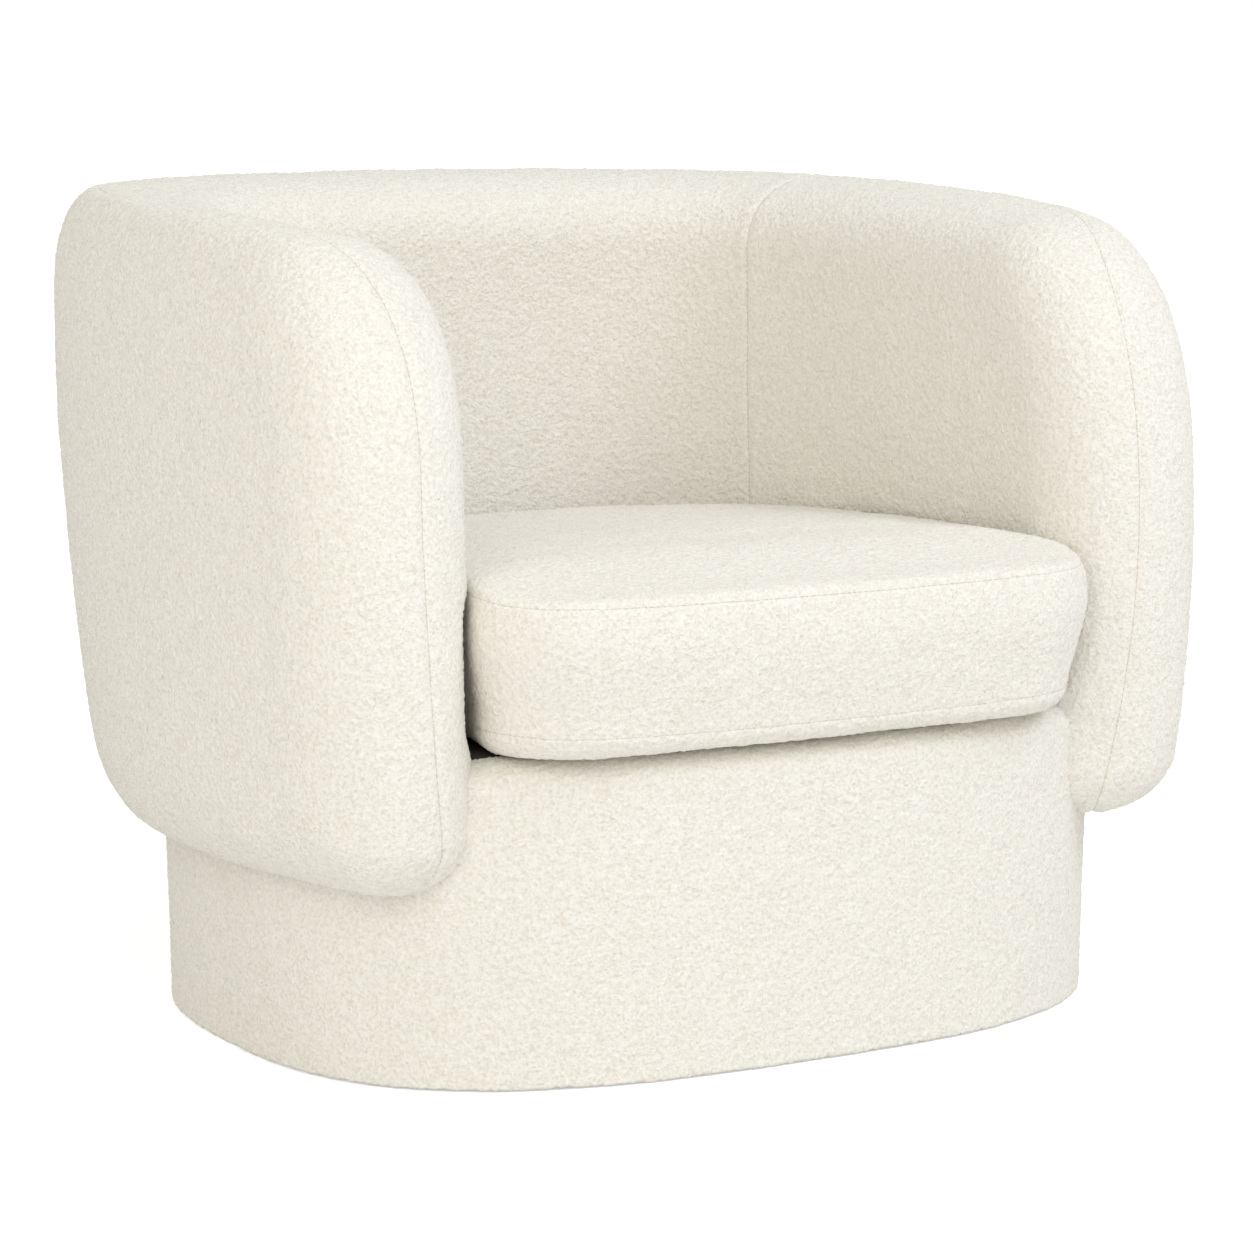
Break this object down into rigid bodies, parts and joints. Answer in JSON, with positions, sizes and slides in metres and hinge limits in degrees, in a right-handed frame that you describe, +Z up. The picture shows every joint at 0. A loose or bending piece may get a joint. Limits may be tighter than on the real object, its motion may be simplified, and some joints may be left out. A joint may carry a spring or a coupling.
{
  "type": "upholstered tub armchair",
  "caption": "Low upholstered tub armchair: a thick padded C-shaped shell makes back and arms, over an oval padded plinth, with a loose boxed seat cushion.",
  "frame": {"origin": "on the floor, below the middle of the whole chair's footprint", "axes": "+X to the right as seen by someone who faces the chair's front, +Y from front to back, +Z up; the sitter faces -Y"},
  "size_m": [0.9614, 0.8746, 0.756],
  "materials": {
    "boucle": "looped wool-like weave, matt",
    "foam": "open-cell foam, matt",
    "liner": "non-woven cloth, matt",
    "plywood": "sawn, unfinished",
    "timber": "planed, unfinished",
    "fibreboard": "smooth, unfinished",
    "spring_steel": "drawn wire",
    "nylon": "moulded, matt"
  },
  "bodies": {
    "chair": {"glide_1": "nylon", "glide_2": "nylon", "glide_3": "nylon", "glide_4": "nylon", "glide_5": "nylon", "glide_6": "nylon", "dust_cover": "liner", "base_bottom_ring": "plywood", "base_platform": "plywood", "base_post_1": "timber", "base_post_2": "timber", "base_post_3": "timber", "base_post_4": "timber", "base_post_5": "timber", "base_post_6": "timber", "plinth_board": "fibreboard", "plinth_foam": "foam", "plinth_cover": "boucle", "seat_rail_front": "timber", "seat_rail_back": "timber", "seat_rail_left": "timber", "seat_rail_right": "timber", "seat_nosing": "plywood", "seat_spring_1": "spring_steel", "seat_spring_2": "spring_steel", "seat_spring_3": "spring_steel", "seat_spring_4": "spring_steel", "seat_spring_5": "spring_steel", "deck_pad": "foam", "deck_cloth": "liner", "shell_bottom_rail": "plywood", "shell_top_rail": "plywood", "back_rib_1": "plywood", "back_rib_2": "plywood", "back_rib_3": "plywood", "back_rib_4": "plywood", "back_rib_5": "plywood", "arm_panel_left": "plywood", "arm_panel_right": "plywood", "arm_front_board_left": "plywood", "arm_front_board_right": "plywood", "rear_spacer_left": "timber", "rear_spacer_right": "timber", "arm_spacer_left": "timber", "arm_spacer_right": "timber", "shell_outer_board": "fibreboard", "shell_inner_board": "fibreboard", "shell_outer_foam": "foam", "inside_foam_left": "foam", "inside_foam_back": "foam", "inside_foam_right": "foam", "shell_outer_cover": "boucle", "inside_cover_left": "boucle", "inside_cover_back": "boucle", "inside_cover_right": "boucle"},
    "cushion": {"cushion_core": "foam", "cushion_top_panel": "boucle", "cushion_boxing": "boucle", "cushion_bottom_panel": "boucle"}
  },
  "joints": [
    {"name": "cushion_lift", "type": "slide", "parent": "chair", "child": "cushion", "axis": [0, 0, 1], "range_m": [0, 0.48]}
  ]
}
